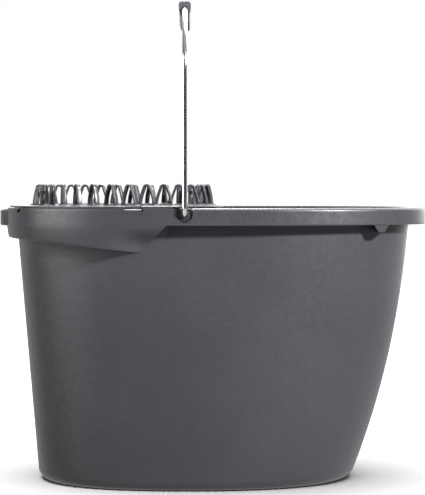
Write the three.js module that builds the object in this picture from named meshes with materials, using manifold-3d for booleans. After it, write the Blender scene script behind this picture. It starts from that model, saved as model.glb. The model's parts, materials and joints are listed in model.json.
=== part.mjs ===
// A mop bucket with a lift-out wringer, in millimetres.
// The tub is an egg-shaped moulding whose front end swells out under the rim, so that the round wringer fits.
// A deck plate covers that front end. It carries a strainer basket and a crown of springy loops that squeeze
// a mop head, and it lifts out as one unit. A wire bail with a moulded grip turns in two bushes in the rim.
// +X points to the rear of the bucket, -X to the pouring lip, +Z up. The origin is under the middle of the
// whole object, on the surface that it stands on.
import * as THREE from "three";
import { mergeVertices } from "three/addons/utils/BufferGeometryUtils.js";
import { ConvexGeometry } from "three/addons/geometries/ConvexGeometry.js";
import Module from "manifold-3d";

const wasm = await Module();
wasm.setup();

// Driving dimensions.
const overallLength = 402; // front of the pouring lip to the rear of the rim
const bucketHeight = 255; // standing surface to the top of the rim
const rimWidth = 284; // across the rim
const lipReach = 6.6; // how far the pouring lip stands out of the front
const lipWidth = 76;
const lipHeight = 14.6;
const lipDrop = 2.2; // how far the lip's edge lies under the rim
const wallThickness = 2.2;
const floorThickness = 2.6;
const baseFrontInset = 30; // how much further in the base is than the rim, at each end
const baseRearInset = 70;
const baseWidth = 221;
const baseCornerRadius = 9;
const footRingWidth = 9;
const footRingHeight = 3;
const rearOverhang = 14; // how far the rim stands out of the wall
const frontOverhang = 8.2;
const sideOverhang = 12;
const skirtDepth = 15.3; // height of the turned-down edge of the rim
const rimEdge = 2.4; // how far its top edge is rounded in
const swellFrontDepth = 27.5; // how deep the swollen front reaches under the rim, at its front end
const swellRearDepth = 39; // and where it runs out into the wall
const swellFull = -105; // place along X behind which its lower edge fades
const swellEnd = -62; // place along X where its lower edge is gone
const skirtStart = -42; // place along X where the rim's skirt is free of the swollen front
const swellDraft = 0.14; // share of the overhang that is lost at its lower edge
const gussetPlace = 151; // place along X of the gusset under the rear of the rim
const gussetDrop = 6.7; // how far it reaches under the skirt
const gussetDraft = 1; // its lower edge behind the skirt's face
const pivotPlace = -26; // place along X of the bail's axis
const pivotDrop = 6.5; // the axis under the top of the rim
const wireDiameter = 4.6;
const bailHeight = 194; // from the bail's axis to the middle of the wire at the top
const bailCorner = 66; // radius of the bends between the legs and the crown
const crownRise = 8; // how far the crown's middle stands over its ends
const gripLength = 170; // measured straight across
const gripWidth = 11.6;
const gripHeight = 14.4;
const gripRoof = 4.8; // plastic above the wire
const deckThickness = 1.6;
const deckInset = 0.6; // from the rim's outline to the deck's
const notchPlace = -72; // finger notches in the deck's edge
const notchWidth = 16.2;
const ventPlace = -177; // slots in the front corners of the rim, for air and for drips
const deckSkirt = 8;
const mouthPlace = -85; // middle of the wringer along X
const mouthRadius = 70;
const drainStart = -172; // first of the drain holes along each side of the deck
const drainPitch = 11;
const drainCount = 5; // those under the loops are left out
const drainRadius = 2.6;
const basketDepth = 128;
const basketFloorRadius = 44;
const basketWall = 2;
const slotCount = 20;
const slotWidth = 6;
const slotTwist = THREE.MathUtils.degToRad(16); // how far the basket's slots lean
const floorHoleRadius = 4;
const loopCount = 30;
const loopHeight = 19.6;
const loopBase = 16; // across the feet of a loop
const loopCrest = 8.4; // across its rounded top
const loopThickness = 2.3;
const loopDepth = 4.4; // width of the strip that a loop is bent from
const loopSlant = THREE.MathUtils.degToRad(40); // how far a loop is turned out of the ring's direction
const fit = 0.3; // clearance between pieces that touch

// Sizes that follow from them.
const frontX = -overallLength / 2 + lipReach;
const rearX = overallLength / 2;
const pivotZ = bucketHeight - pivotDrop;
const deckTop = bucketHeight + fit + deckThickness;
const deckEnd = pivotPlace - wireDiameter / 2 - 2.2; // the deck stops short of the bail along the sides
const wireRadius = wireDiameter / 2;
const legY = rimWidth / 2 + wireRadius + 1.4; // middle of a leg of the bail, just outside the rim
const hingeZ = deckTop + fit + loopDepth / 2; // axis that the loops lean about
const loopRing = mouthRadius + 2.5 + (loopBase * Math.sin(loopSlant) + loopDepth * Math.cos(loopSlant)) / 2;
const basketFlange = loopRing + loopBase / 2;
const deckLobe = loopRing + loopBase / 2 + 9; // radius of the deck's round rear edge

const outlinePoints = 56;
const frontPower = 2.5; // how square the front half of the egg is
const rearPower = 2.2;
const roundSides = 16;

// Solids.

function solidOf(geometry) {
  const bare = geometry.index ? geometry.toNonIndexed() : geometry.clone();
  bare.deleteAttribute("normal");
  bare.deleteAttribute("uv");
  const merged = mergeVertices(bare, 1e-4);
  const mesh = new wasm.Mesh({
    numProp: 3,
    vertProperties: merged.attributes.position.array,
    triVerts: new Uint32Array(merged.index.array),
  });
  return new wasm.Manifold(mesh);
}

function geometryOf(solid) {
  const mesh = solid.getMesh();
  const geometry = new THREE.BufferGeometry();
  geometry.setAttribute("position", new THREE.BufferAttribute(new Float32Array(mesh.vertProperties), 3));
  geometry.setIndex(new THREE.BufferAttribute(new Uint32Array(mesh.triVerts), 1));
  geometry.computeVertexNormals();
  return geometry;
}

function union(solids) {
  return solids.reduce((whole, piece) => whole.add(piece));
}

// A closed skin over rings of points that run anticlockwise about the way from the first ring to the last.
// The ends are closed by a fan about their middle, or by the given faces if the rings aren't convex.
function loft(rings, faces) {
  const count = rings[0].length;
  const corners = [];
  for (let level = 0; level + 1 < rings.length; level++) {
    const low = rings[level];
    const high = rings[level + 1];
    for (let i = 0; i < count; i++) {
      const next = (i + 1) % count;
      corners.push(low[i], low[next], high[next]);
      corners.push(low[i], high[next], high[i]);
    }
  }
  const first = rings[0];
  const last = rings[rings.length - 1];
  if (faces) {
    for (const [a, b, c] of faces) {
      corners.push(first[a], first[c], first[b]);
      corners.push(last[a], last[b], last[c]);
    }
    return new THREE.BufferGeometry().setFromPoints(corners);
  }
  const middle = (ring) => ring.reduce((sum, p) => sum.add(p), new THREE.Vector3()).divideScalar(count);
  const start = middle(first);
  const end = middle(last);
  for (let i = 0; i < count; i++) {
    const next = (i + 1) % count;
    corners.push(first[next], first[i], start);
    corners.push(last[i], last[next], end);
  }
  return new THREE.BufferGeometry().setFromPoints(corners);
}

function block(x0, x1, y0, y1, z0, z1) {
  const box = new THREE.BoxGeometry(x1 - x0, y1 - y0, z1 - z0);
  return solidOf(box.translate((x0 + x1) / 2, (y0 + y1) / 2, (z0 + z1) / 2));
}

function upright(radius, z0, z1, x = 0, y = 0, sides = roundSides) {
  const round = new THREE.CylinderGeometry(radius, radius, z1 - z0, sides);
  return solidOf(round.rotateX(Math.PI / 2).translate(x, y, (z0 + z1) / 2));
}

// A cylinder along Y.
function crosswise(radius, y0, y1, x, z, sides = roundSides) {
  const round = new THREE.CylinderGeometry(radius, radius, Math.abs(y1 - y0), sides);
  return solidOf(round.translate(x, (y0 + y1) / 2, z));
}

// A shape drawn in the XZ plane, as a slab that runs along Y.
function sideSlab(points, y0, y1) {
  const shape = new THREE.Shape(points.map(([x, z]) => new THREE.Vector2(x, z)));
  const slab = new THREE.ExtrudeGeometry(shape, { depth: y1 - y0, bevelEnabled: false });
  return solidOf(slab.rotateX(Math.PI / 2).translate(0, y1, 0));
}

// Plan of the tub.

// An egg: two halves of a superellipse that meet where the outline is widest. A point is found by its index.
function eggPoint(plan, inset, index, z = 0) {
  const angle = (2 * Math.PI * index) / outlinePoints;
  const power = Math.cos(angle) > 0 ? rearPower : frontPower;
  const reach = (Math.cos(angle) > 0 ? plan.rear - plan.wide : plan.wide - plan.front) - inset;
  const place = (value) => Math.sign(value) * Math.abs(value) ** (2 / power);
  return new THREE.Vector3(
    plan.wide + reach * place(Math.cos(angle)),
    (plan.half - inset) * place(Math.sin(angle)),
    z,
  );
}

function egg(plan, inset, z) {
  return Array.from({ length: outlinePoints }, (_, i) => eggPoint(plan, inset, i, z));
}

// Half of the egg's width at a place along X.
function halfWidthAt(plan, x) {
  const power = x > plan.wide ? rearPower : frontPower;
  const reach = x > plan.wide ? plan.rear - plan.wide : plan.wide - plan.front;
  return plan.half * (1 - Math.min(1, Math.abs(x - plan.wide) / reach) ** power) ** (1 / power);
}

const rimPlan = { front: frontX, rear: rearX, half: rimWidth / 2, wide: 15 };

// The wall's outside at a height: straight and tapered at the front and sides, bowed at the rear.
function wallPlan(z) {
  const down = 1 - z / bucketHeight;
  const bowed = 0.4 * down + 0.6 * Math.max(0, down) ** 2.4;
  const topHalf = rimWidth / 2 - sideOverhang;
  return {
    front: frontX + frontOverhang + (baseFrontInset - frontOverhang) * down,
    rear: rearX - rearOverhang - (baseRearInset - rearOverhang) * bowed,
    half: topHalf - (topHalf - baseWidth / 2) * (0.8 * down + 0.2 * down * down),
    wide: rimPlan.wide - 35 * down,
  };
}

function rimLoft(inset, z0, z1) {
  return solidOf(loft([egg(rimPlan, inset, z0), egg(rimPlan, inset, z1)]));
}

function wallLoft(inset, z0, z1, corner) {
  const rings = [];
  const cornerSteps = 3;
  for (let step = 0; step < cornerSteps; step++) {
    const angle = (Math.PI / 2) * (step / cornerSteps);
    const z = z0 + corner * (1 - Math.cos(angle));
    rings.push(egg(wallPlan(z), inset + corner * (1 - Math.sin(angle)), z));
  }
  const wallSteps = 4;
  for (let step = 0; step <= wallSteps; step++) {
    const z = z0 + corner + ((z1 - z0 - corner) * step) / wallSteps;
    rings.push(egg(wallPlan(Math.min(z, bucketHeight)), inset, z));
  }
  return solidOf(loft(rings));
}

// Bucket.

// 1 up to one place along X and 0 behind the other, with a smooth change between.
function fade(x, full, none) {
  const share = Math.min(1, Math.max(0, (none - x) / (none - full)));
  return share * share * (3 - 2 * share);
}

function swellEdge(x) {
  const share = Math.min(1, (x - frontX) / (swellEnd - 12 - frontX));
  return bucketHeight - swellFrontDepth - (swellRearDepth - swellFrontDepth) * share;
}

// A ring that leaves the wall's outline for the rim's by a share that varies along X. Where the share is none, the
// ring lies a little inside the wall.
function swellRing(inset, heightAt, shareAt) {
  const sunk = 0.08;
  return Array.from({ length: outlinePoints }, (_, i) => {
    const outer = eggPoint(rimPlan, inset, i);
    const z = heightAt(outer.x);
    const inner = eggPoint(wallPlan(z), inset, i);
    const share = shareAt(outer.x) * (1 + sunk) - sunk;
    return inner.lerp(outer, share).setZ(z);
  });
}

// The swollen front. Its lower edge is a ledge that fades towards the rear, where its side runs up to the skirt.
function frontSwell(inset, lift, full, none, top) {
  const low = bucketHeight - skirtDepth;
  const edgeShare = (x) => (1 - swellDraft) * fade(x, swellFull - lift, swellEnd - lift);
  const sideShare = (x) => fade(x, full, none);
  return solidOf(
    loft([
      swellRing(inset, (x) => swellEdge(x) + lift, () => 0),
      swellRing(inset, (x) => swellEdge(x) + lift + 0.6, edgeShare),
      swellRing(inset, () => low, sideShare),
      swellRing(inset, () => top, sideShare),
    ]),
  );
}

// A V-shaped web from the rim's skirt to the wall.
function gusset(side) {
  const top = bucketHeight - skirtDepth + 2;
  const low = bucketHeight - skirtDepth - gussetDrop;
  const outer = (x) => side * (halfWidthAt(rimPlan, x) - 0.6);
  const inner = (x, z) => side * (halfWidthAt(wallPlan(z), x) - wallThickness / 2);
  const points = [];
  for (const [half, z] of [[8.4, top], [3, low]]) {
    for (const x of [gussetPlace - half, gussetPlace + half]) {
      points.push(new THREE.Vector3(x, inner(x, z), z));
      points.push(new THREE.Vector3(x, z === top ? outer(x) : outer(x) - side * gussetDraft, z));
    }
  }
  return solidOf(new ConvexGeometry(points));
}

const pocketHalf = 6.9;
const pocketDepth = 3.4;

// The U-shaped pocket in the rim that holds a bush's flange: round below, open at the top.
function pocketShape(half, side, y0, y1, top) {
  const middle = pivotZ + 0.6;
  const round = crosswise(half, side * y0, side * y1, pivotPlace, middle, 20);
  const low = Math.min(side * y0, side * y1);
  const high = Math.max(side * y0, side * y1);
  const sides = block(pivotPlace - half, pivotPlace + half, low, high, middle, top);
  return round.add(sides).subtract(block(pivotPlace - 20, pivotPlace + 20, low - 1, high + 1, top, top + 20));
}

const bushOuter = 4.4;
const skirtFaceY = halfWidthAt(rimPlan, pivotPlace);
const innerWallY = halfWidthAt(wallPlan(pivotZ), pivotPlace) - wallThickness;

// The pouring lip's plan: a flat oval that stands out of the front.
function lipSolid(inset, z0, z1) {
  const steps = 10;
  const back = frontX + 14;
  const reach = lipReach + 9 - inset;
  const half = lipWidth / 2 - inset;
  const points = [new THREE.Vector2(back, -half), new THREE.Vector2(back, half)];
  for (let i = 0; i <= steps; i++) {
    const angle = Math.PI / 2 + (Math.PI * i) / steps;
    const across = Math.sign(Math.sin(angle)) * Math.abs(Math.sin(angle)) ** 0.7;
    points.push(new THREE.Vector2(frontX + 9 + reach * Math.cos(angle), half * across));
  }
  const slab = new THREE.ExtrudeGeometry(new THREE.Shape(points), { depth: z1 - z0, bevelEnabled: false });
  return solidOf(slab.translate(0, 0, z0));
}

// The room behind the rim's skirt, from the swollen front round the rear, without the bosses at the pivots.
function skirtHollow() {
  const top = bucketHeight;
  const low = top - skirtDepth;
  const bossHalf = 11;
  const behind = rimLoft(wallThickness, low - 1, top - wallThickness)
    .intersect(block(skirtStart + 2, rearX, -rimWidth, rimWidth, low - 2, top))
    .subtract(block(pivotPlace - bossHalf, pivotPlace + bossHalf, -rimWidth, rimWidth, low - 2, top));
  const drop = 26;
  const below = sideSlab(
    [
      [skirtStart, low],
      [skirtStart - drop, low - drop],
      [rearX + 5, low - drop],
      [rearX + 5, low],
    ],
    -rimWidth,
    rimWidth,
  );
  return behind.add(below).subtract(wallLoft(0, 0, top + 1, baseCornerRadius));
}

function rimSlab() {
  const low = bucketHeight - skirtDepth;
  const middle = rimEdge * 0.29;
  return solidOf(
    loft([
      egg(rimPlan, 0, low),
      egg(rimPlan, 0, bucketHeight - rimEdge),
      egg(rimPlan, middle, bucketHeight - middle),
      egg(rimPlan, rimEdge, bucketHeight),
    ]),
  );
}

function bucketShell() {
  const top = bucketHeight;
  const lipTop = top - lipDrop;
  const lip = lipSolid(0, lipTop - lipHeight, lipTop);
  const swell = frontSwell(0, 0, skirtStart - 4, skirtStart + 4, top - 4);
  let shell = union([wallLoft(0, 0, top, baseCornerRadius), rimSlab(), swell, lip]);
  shell = shell.subtract(skirtHollow()).add(gusset(1)).add(gusset(-1));

  const cavity = wallLoft(wallThickness, floorThickness + footRingHeight, top + 1, baseCornerRadius - 3);
  const swellCavity = frontSwell(wallThickness, wallThickness, skirtStart - 30, skirtStart - 16, top + 1);
  const channel = lipSolid(wallThickness, lipTop - lipHeight + wallThickness, top + 1);
  shell = shell.subtract(cavity).subtract(swellCavity).subtract(channel);

  // The recess inside the foot ring.
  const recessInset = baseCornerRadius + footRingWidth;
  const recess = loft([egg(wallPlan(0), recessInset, -1), egg(wallPlan(0), recessInset + 1, footRingHeight)]);
  shell = shell.subtract(solidOf(recess));

  for (const side of [1, -1]) {
    shell = shell.subtract(
      pocketShape(pocketHalf, side, skirtFaceY - pocketDepth, skirtFaceY + 2, top + 2),
    );
    shell = shell.subtract(
      crosswise(bushOuter + fit, side * (innerWallY - 3), side * skirtFaceY, pivotPlace, pivotZ),
    );
    shell = shell.subtract(ventSlot(side));
    const slitX = notchPlace + notchWidth / 2;
    const edgeY = side * halfWidthAt(rimPlan, slitX);
    shell = shell.subtract(block(slitX - 1.2, slitX, edgeY - 1.4, edgeY + 1.4, top - 3.4, top + 1));
  }
  return shell;
}

function ventSlot(side) {
  const y = side * halfWidthAt(rimPlan, ventPlace);
  return block(ventPlace - 2.6, ventPlace + 2.6, y - 14, y + 14, bucketHeight - 4.6, bucketHeight - 1);
}

function bush(side) {
  const back = skirtFaceY - pocketDepth + fit;
  const flange = pocketShape(pocketHalf - fit, side, back, back + 1.6, bucketHeight - 0.4);
  const sleeve = crosswise(bushOuter, side * (innerWallY - 1.2), side * (back + 0.5), pivotPlace, pivotZ);
  const bore = crosswise(wireRadius + fit, side * (innerWallY - 4), side * (back + 4), pivotPlace, pivotZ);
  return flange.add(sleeve).subtract(bore);
}

// Bail.

const bendRadius = 7;
const capThickness = 4;
const capGap = 1.2 + fit;
const wireEndY = innerWallY - capGap - capThickness + 1;

// The crown is a flat arc between the corner bends. Its radius and half angle follow from its rise.
function crownArc() {
  const cornerTurn = (slope) => Math.PI / 2 - slope;
  let slope = 0.1;
  let radius = 0;
  for (let pass = 0; pass < 12; pass++) {
    const half = legY - bailCorner * (1 - Math.cos(cornerTurn(slope)));
    radius = (half * half + crownRise * crownRise) / (2 * crownRise);
    slope = Math.asin(half / radius);
  }
  return { radius, slope };
}

const crown = crownArc();
const crownTop = pivotZ + bailHeight;
const crownCentreZ = crownTop - crown.radius;
const cornerStartZ = crownTop - crownRise - bailCorner * Math.cos(crown.slope);

// Points along half of the wire, from its end inside the tub to the top, in the YZ plane.
function halfWire() {
  const points = [new THREE.Vector2(wireEndY, pivotZ)];
  const arc = (centreY, centreZ, radius, from, to, steps) => {
    for (let i = 0; i <= steps; i++) {
      const angle = from + ((to - from) * i) / steps;
      points.push(new THREE.Vector2(centreY + radius * Math.cos(angle), centreZ + radius * Math.sin(angle)));
    }
  };
  arc(legY - bendRadius, pivotZ + bendRadius, bendRadius, -Math.PI / 2, 0, 5);
  arc(legY - bailCorner, cornerStartZ, bailCorner, 0, Math.PI / 2 - crown.slope, 8);
  points.pop();
  arc(0, crownCentreZ, crown.radius, Math.PI / 2 - crown.slope, Math.PI / 2, 6);
  return points;
}

// Sweeps a section, given as [across, outward] pairs that run anticlockwise about the line's way, along a line
// in the YZ plane that runs from +Y to -Y.
function sweepInPlane(line, section, faces) {
  const rings = line.map((p, i) => {
    const before = line[Math.max(0, i - 1)];
    const after = line[Math.min(line.length - 1, i + 1)];
    const along = after.clone().sub(before).normalize();
    return section.map(
      ([across, out]) => new THREE.Vector3(pivotPlace + across, p.x + along.y * out, p.y - along.x * out),
    );
  });
  return solidOf(loft(rings, faces));
}

function circleSection(radius, sides) {
  return Array.from({ length: sides }, (_, i) => {
    const angle = (2 * Math.PI * (i + 0.5)) / sides;
    return [radius * Math.cos(angle), radius * Math.sin(angle)];
  });
}

function bailWire() {
  const half = halfWire();
  const other = half.slice(0, -1).reverse().map((p) => new THREE.Vector2(-p.x, p.y));
  return sweepInPlane([...half, ...other], circleSection(wireRadius, 8));
}

// The crown of the bail between two places across it, for what is threaded on it.
function crownLine(halfLength, steps) {
  const reach = Math.asin(halfLength / crown.radius);
  return Array.from({ length: steps + 1 }, (_, i) => {
    const angle = Math.PI / 2 - reach + (2 * reach * i) / steps;
    return new THREE.Vector2(
      crown.radius * Math.cos(angle),
      crownCentreZ + crown.radius * Math.sin(angle),
    );
  });
}

// A saddle of inverted-U section that is pressed down over the wire.
function bailGrip() {
  const half = gripWidth / 2;
  const top = wireRadius + fit + gripRoof;
  const low = top - gripHeight;
  const slot = wireRadius + fit;
  const section = [
    [-half * 0.72, low],
    [-slot, low],
    [-slot, slot * 0.41],
    [-slot * 0.41, slot],
    [slot * 0.41, slot],
    [slot, slot * 0.41],
    [slot, low],
    [half * 0.72, low],
    [half, low + gripHeight * 0.5],
    [half, top - 3],
    [half - 3, top],
    [-half + 3, top],
    [-half, top - 3],
    [-half, low + gripHeight * 0.5],
  ];
  const outline = section.map(([across, out]) => new THREE.Vector2(across, out));
  const faces = THREE.ShapeUtils.triangulateShape(outline, []);
  return sweepInPlane(crownLine(gripLength / 2, 8), section, faces);
}

// A push-on cap that keeps the wire's end in its bush.
function endCap(side) {
  const outerY = innerWallY - capGap;
  const cap = crosswise(5.6, side * outerY, side * (outerY - capThickness), pivotPlace, pivotZ);
  const bore = crosswise(wireRadius + fit, side * (outerY + 1), side * (wireEndY - fit), pivotPlace, pivotZ);
  return cap.subtract(bore);
}

// Wringer.

// The deck's outline as a solid: the front of the rim's outline with a round lobe about the mouth.
function deckBlank(inset, end, z0, z1) {
  const front = rimLoft(inset, z0, z1).intersect(
    block(frontX - 2, end, -rimWidth, rimWidth, z0 - 1, z1 + 1),
  );
  return front.add(upright(deckLobe - inset, z0, z1, mouthPlace, 0, 48));
}

function wringerDeck() {
  const low = bucketHeight + fit;
  const plate = deckBlank(deckInset, deckEnd, low, deckTop);
  const outer = wallThickness + 3;
  const skirtEnd = notchPlace - notchWidth / 2 - 2;
  const skirt = deckBlank(outer, skirtEnd, low - deckSkirt, low).subtract(
    deckBlank(outer + 2, skirtEnd - 2, low - deckSkirt - 1, low + 0.01),
  );
  let deck = plate.add(skirt);
  deck = deck.subtract(upright(mouthRadius, low - 1, deckTop + 1, mouthPlace, 0, 60));
  for (const side of [1, -1]) {
    deck = deck.subtract(sideNotch(side, 7)).subtract(ventSlot(side));
    for (let i = 0; i < drainCount; i++) {
      const x = drainStart + drainPitch * i;
      const y = halfWidthAt(rimPlan, x) - 15 - (i < 2 ? 2 : 0);
      if (Math.hypot(x - mouthPlace, y) > deckLobe - 4) {
        deck = deck.subtract(upright(drainRadius, low - 1, deckTop + 1, x, side * y, 10));
      }
    }
  }
  return deck;
}

// A finger notch in the deck's edge, over the rim.
function sideNotch(side, depth) {
  const edge = side * halfWidthAt(rimPlan, notchPlace);
  const y0 = Math.min(edge - side * depth, edge + side * 4);
  const y1 = Math.max(edge - side * depth, edge + side * 4);
  const x0 = notchPlace - notchWidth / 2;
  return block(x0, x0 + notchWidth, y0, y1, bucketHeight - 1, deckTop + 2);
}

function strainerBasket() {
  const top = bucketHeight;
  const low = top - basketDepth;
  const wall = basketWall;
  const flange = basketWall;
  const profile = [
    [0, low],
    [basketFloorRadius - 5, low],
    [basketFloorRadius, low + 5],
    [mouthRadius + wall, top - flange - 2],
    [basketFlange, top - flange],
    [basketFlange, top],
    [mouthRadius + 1, top],
    [mouthRadius, top - 3],
    [basketFloorRadius - wall, low + 6],
    [basketFloorRadius - 6, low + wall],
    [0, low + wall],
  ].map(([r, z]) => new THREE.Vector2(r, z));
  const turned = new THREE.LatheGeometry(profile, 32);
  let basket = solidOf(turned.rotateX(Math.PI / 2));
  if (basket.volume() < 0) throw new Error("the basket's profile is inside out");
  const slots = [];
  const slotLength = basketDepth * 0.62;
  const lean = Math.atan2(mouthRadius - basketFloorRadius, basketDepth);
  for (let i = 0; i < slotCount; i++) {
    const slot = new THREE.BoxGeometry(24, slotWidth, slotLength);
    slot.rotateX(-slotTwist);
    slot.rotateY(lean);
    slot.translate((mouthRadius + basketFloorRadius) / 2, 0, low + basketDepth * 0.48);
    slot.rotateZ((2 * Math.PI * i) / slotCount);
    slots.push(solidOf(slot));
  }
  for (const [ring, count] of [[0, 1], [16, 6], [31, 10]]) {
    for (let i = 0; i < count; i++) {
      const angle = (2 * Math.PI * i) / count;
      slots.push(upright(floorHoleRadius, low - 1, low + 4, ring * Math.cos(angle), ring * Math.sin(angle), 6));
    }
  }
  for (const slot of slots) basket = basket.subtract(slot);
  return basket.translate([mouthPlace, 0, 0]);
}

// A strip bent into an upside-down U, with its feet along X. The feet end in knuckles about the X axis, so the loop
// can lean without meeting the deck.
function loopGeometry() {
  const crest = loopCrest / 2;
  const foot = loopBase / 2;
  const knuckle = loopDepth / 2;
  const shoulder = loopHeight - knuckle - crest;
  const side = (offset) => {
    const points = [[foot - offset, 0]];
    const steps = 6;
    for (let i = 0; i <= steps; i++) {
      const angle = (Math.PI * i) / steps;
      points.push([(crest - offset) * Math.cos(angle), shoulder + (crest - offset) * Math.sin(angle)]);
    }
    points.push([-foot + offset, 0]);
    return points;
  };
  const outline = [...side(0), ...side(loopThickness).reverse()];
  const shape = new THREE.Shape(outline.map(([x, z]) => new THREE.Vector2(x, z)));
  const bent = new THREE.ExtrudeGeometry(shape, { depth: loopDepth, bevelEnabled: false });
  let loop = solidOf(bent.translate(0, 0, -loopDepth / 2).rotateX(Math.PI / 2));
  for (const x of [foot - loopThickness / 2, loopThickness / 2 - foot]) {
    const round = new THREE.CylinderGeometry(knuckle, knuckle, loopThickness, 8);
    loop = loop.add(solidOf(round.rotateZ(Math.PI / 2).translate(x, 0, 0)));
  }
  return geometryOf(loop);
}

// Scene graph.

function finish(color, roughness, metalness = 0) {
  return new THREE.MeshStandardMaterial({ color, roughness, metalness });
}

const bucketPlastic = finish(0x55555b, 0.42);
const wringerPlastic = finish(0x4c4c52, 0.45);
const bushPlastic = finish(0x242426, 0.5);
const gripPlastic = finish(0x5d5d63, 0.4);
const chrome = finish(0xd9dadd, 0.12, 1);
const steel = finish(0x9b9da0, 0.35, 1);

function piece(name, geometry, material) {
  const mesh = new THREE.Mesh(geometry, material);
  mesh.name = name;
  return mesh;
}

const mopBucket = new THREE.Group();
mopBucket.add(piece("bucket_shell", geometryOf(bucketShell()), bucketPlastic));

const bail = new THREE.Group();
bail.add(piece("bail_wire", geometryOf(bailWire()), chrome));
bail.add(piece("bail_grip", geometryOf(bailGrip()), gripPlastic));
for (const [side, name] of [[-1, "near"], [1, "far"]]) {
  mopBucket.add(piece("pivot_bush_" + name, geometryOf(bush(side)), bushPlastic));
  bail.add(piece("end_cap_" + name, geometryOf(endCap(side)), steel));
}
mopBucket.add(bail);

const wringer = new THREE.Group();
wringer.add(piece("wringer_deck", geometryOf(wringerDeck()), wringerPlastic));
wringer.add(piece("strainer_basket", geometryOf(strainerBasket()), wringerPlastic));
const loopCrown = new THREE.Group();
loopCrown.position.set(mouthPlace, 0, hingeZ);
const loopShape = loopGeometry();
for (let i = 0; i < loopCount; i++) {
  const spoke = new THREE.Group();
  spoke.rotation.z = (2 * Math.PI * i) / loopCount;
  const loop = piece("squeeze_loop_" + String(i + 1).padStart(2, "0"), loopShape, wringerPlastic);
  loop.position.x = loopRing;
  loop.rotation.z = Math.PI / 2 - loopSlant;
  spoke.add(loop);
  loopCrown.add(spoke);
}
wringer.add(loopCrown);
mopBucket.add(wringer);

export default mopBucket;
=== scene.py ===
# Mop bucket with a lift-out wringer: fine meshes, finishes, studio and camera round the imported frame.
# Sizes in the dictionaries are millimetres, the finished meshes are in metres.
import json
import math

import bmesh
import bpy
from mathutils import Matrix, Vector


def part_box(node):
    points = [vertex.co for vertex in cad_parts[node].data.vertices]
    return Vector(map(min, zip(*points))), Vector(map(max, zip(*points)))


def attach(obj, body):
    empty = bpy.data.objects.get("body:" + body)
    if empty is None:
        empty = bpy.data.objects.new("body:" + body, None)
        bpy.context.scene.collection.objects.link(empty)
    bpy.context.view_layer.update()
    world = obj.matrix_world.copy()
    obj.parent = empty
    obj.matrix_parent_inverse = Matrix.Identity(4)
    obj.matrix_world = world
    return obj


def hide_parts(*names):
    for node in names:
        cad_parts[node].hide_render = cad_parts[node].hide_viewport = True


mm = 0.001
sharpAngle = 38  # edges that turn by more degrees than this stay sharp
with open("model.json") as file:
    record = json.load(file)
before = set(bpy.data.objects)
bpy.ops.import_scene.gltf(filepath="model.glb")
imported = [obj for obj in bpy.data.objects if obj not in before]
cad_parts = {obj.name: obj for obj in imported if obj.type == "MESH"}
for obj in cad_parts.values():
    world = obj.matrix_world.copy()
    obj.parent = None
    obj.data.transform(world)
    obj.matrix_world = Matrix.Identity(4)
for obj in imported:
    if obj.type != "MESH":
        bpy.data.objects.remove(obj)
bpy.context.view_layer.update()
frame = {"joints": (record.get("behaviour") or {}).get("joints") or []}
jointOf = {joint["name"]: joint for joint in frame["joints"]}


# small helpers for meshes

def nodeBox(node):
    low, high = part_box(node)
    return low / mm, high / mm


def newObject(name, bm, material=None):
    mesh = bpy.data.meshes.new(name)
    bmesh.ops.recalc_face_normals(bm, faces=bm.faces)
    bm.to_mesh(mesh)
    bm.free()
    piece = bpy.data.objects.new(name, mesh)
    bpy.context.scene.collection.objects.link(piece)
    shadeByAngle(mesh)
    if material:
        mesh.materials.append(material)
    return piece


def shadeByAngle(mesh):
    mesh.polygons.foreach_set("use_smooth", [True] * len(mesh.polygons))
    mesh.set_sharp_from_angle(angle=math.radians(sharpAngle))


def addRings(bm, rings, startCap="fan", endCap="fan"):
    # rings: lists of points in millimetres with the same count, each a closed loop
    rows = [[bm.verts.new(point * mm) for point in ring] for ring in rings]
    count = len(rows[0])
    for low, high in zip(rows, rows[1:]):
        for i in range(count):
            bm.faces.new((low[i], low[(i + 1) % count], high[(i + 1) % count], high[i]))
    for row, cap in ((rows[0], startCap), (rows[-1], endCap)):
        if cap == "fan":
            middle = bm.verts.new(sum((vert.co for vert in row), Vector()) / count)
            for i in range(count):
                bm.faces.new((row[i], row[(i + 1) % count], middle))
        elif cap == "face":
            bm.faces.new(row)
    if startCap == "join":
        for i in range(count):
            bm.faces.new((rows[-1][i], rows[-1][(i + 1) % count], rows[0][(i + 1) % count], rows[0][i]))


def ringMesh(name, rings, material=None, startCap="fan", endCap="fan"):
    bm = bmesh.new()
    addRings(bm, rings, startCap, endCap)
    bmesh.ops.remove_doubles(bm, verts=bm.verts, dist=0.02 * mm)
    bmesh.ops.dissolve_degenerate(bm, edges=bm.edges, dist=0.01 * mm)
    return newObject(name, bm, material)


def joinInto(target, *others):
    # the others' meshes are added to the target's, which keeps its own material
    bm = bmesh.new()
    for piece in (target, *others):
        part = piece.data.copy()
        part.transform(piece.matrix_world)
        bm.from_mesh(part)
        bpy.data.meshes.remove(part)
    bm.to_mesh(target.data)
    bm.free()
    target.matrix_world = Matrix.Identity(4)
    for piece in others:
        bpy.data.objects.remove(piece, do_unlink=True)
    return target


def cutOrAdd(piece, tool, operation):
    # a boolean that is applied straight away; the tool is used up
    modifier = piece.modifiers.new("boolean", "BOOLEAN")
    modifier.operation = operation
    modifier.solver = "MANIFOLD"
    modifier.object = tool
    bpy.context.view_layer.update()
    depsgraph = bpy.context.evaluated_depsgraph_get()
    mesh = bpy.data.meshes.new_from_object(piece.evaluated_get(depsgraph))
    mesh.materials.clear()
    for material in piece.data.materials:
        mesh.materials.append(material)
    piece.modifiers.clear()
    piece.data = mesh
    shadeByAngle(mesh)
    bpy.data.objects.remove(tool, do_unlink=True)
    return piece


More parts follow.
